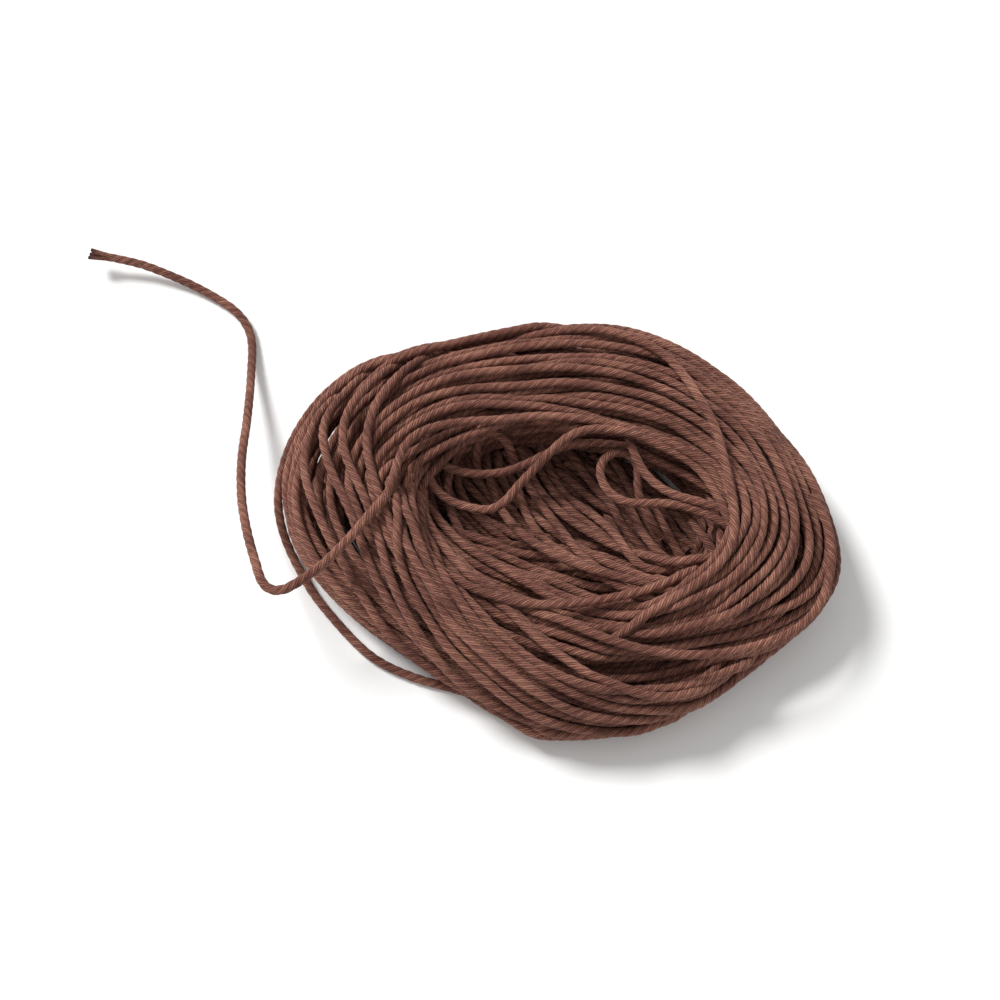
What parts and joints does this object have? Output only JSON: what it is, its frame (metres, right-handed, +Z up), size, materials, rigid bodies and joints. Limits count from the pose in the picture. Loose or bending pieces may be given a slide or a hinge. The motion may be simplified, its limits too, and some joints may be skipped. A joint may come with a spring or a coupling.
{
  "type": "hank of rigging thread",
  "caption": "Loose oval hank of twisted cotton rigging thread, wound round an open hollow, with one free end.",
  "frame": {"origin": "middle of the hollow, on the surface that the hank lies on", "axes": "+Z up from the surface, +X along the long side of the hank away from its free end, +Y towards the back"},
  "size_m": [0.0809, 0.0572, 0.0124],
  "materials": {
    "thread": "brown three-ply twisted cotton thread, matt and slightly fuzzy"
  },
  "bodies": {
    "root": {"hank": "thread", "loose_end": "thread"}
  },
  "joints": []
}
